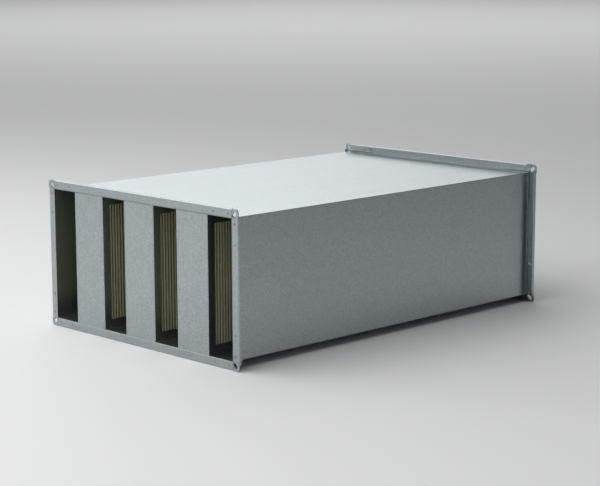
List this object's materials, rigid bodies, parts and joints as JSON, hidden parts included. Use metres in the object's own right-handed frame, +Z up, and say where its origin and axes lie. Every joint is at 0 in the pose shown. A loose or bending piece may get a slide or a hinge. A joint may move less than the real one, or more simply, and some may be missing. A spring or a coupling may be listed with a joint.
{
  "type": "rectangular duct sound attenuator",
  "caption": "Rectangular galvanised duct attenuator with upright splitters of ribbed mineral wool, plain metal noses, air gaps between them and a bolted flange at each end.",
  "frame": {"origin": "under the middle of the body, level with the lower edge of the flanges", "axes": "+X across the duct, to the right seen from the front flange; +Y along the air stream, from the front flange to the back flange; +Z up"},
  "size_m": [0.64, 0.98, 0.34],
  "materials": {
    "galvanised_steel": "hot-dip galvanised, satin",
    "mineral_wool": "matte mineral wool"
  },
  "bodies": {
    "root": {"casing": "galvanised_steel", "front_top_flange_profile": "galvanised_steel", "front_right_flange_profile": "galvanised_steel", "front_bottom_flange_profile": "galvanised_steel", "front_left_flange_profile": "galvanised_steel", "front_top_right_corner_piece": "galvanised_steel", "front_bottom_right_corner_piece": "galvanised_steel", "front_bottom_left_corner_piece": "galvanised_steel", "front_top_left_corner_piece": "galvanised_steel", "back_top_flange_profile": "galvanised_steel", "back_right_flange_profile": "galvanised_steel", "back_bottom_flange_profile": "galvanised_steel", "back_left_flange_profile": "galvanised_steel", "back_top_right_corner_piece": "galvanised_steel", "back_bottom_right_corner_piece": "galvanised_steel", "back_bottom_left_corner_piece": "galvanised_steel", "back_top_left_corner_piece": "galvanised_steel", "splitter_frame_1": "galvanised_steel", "mineral_wool_1": "mineral_wool", "splitter_frame_2": "galvanised_steel", "mineral_wool_2": "mineral_wool", "splitter_frame_3": "galvanised_steel", "mineral_wool_3": "mineral_wool"}
  },
  "joints": []
}
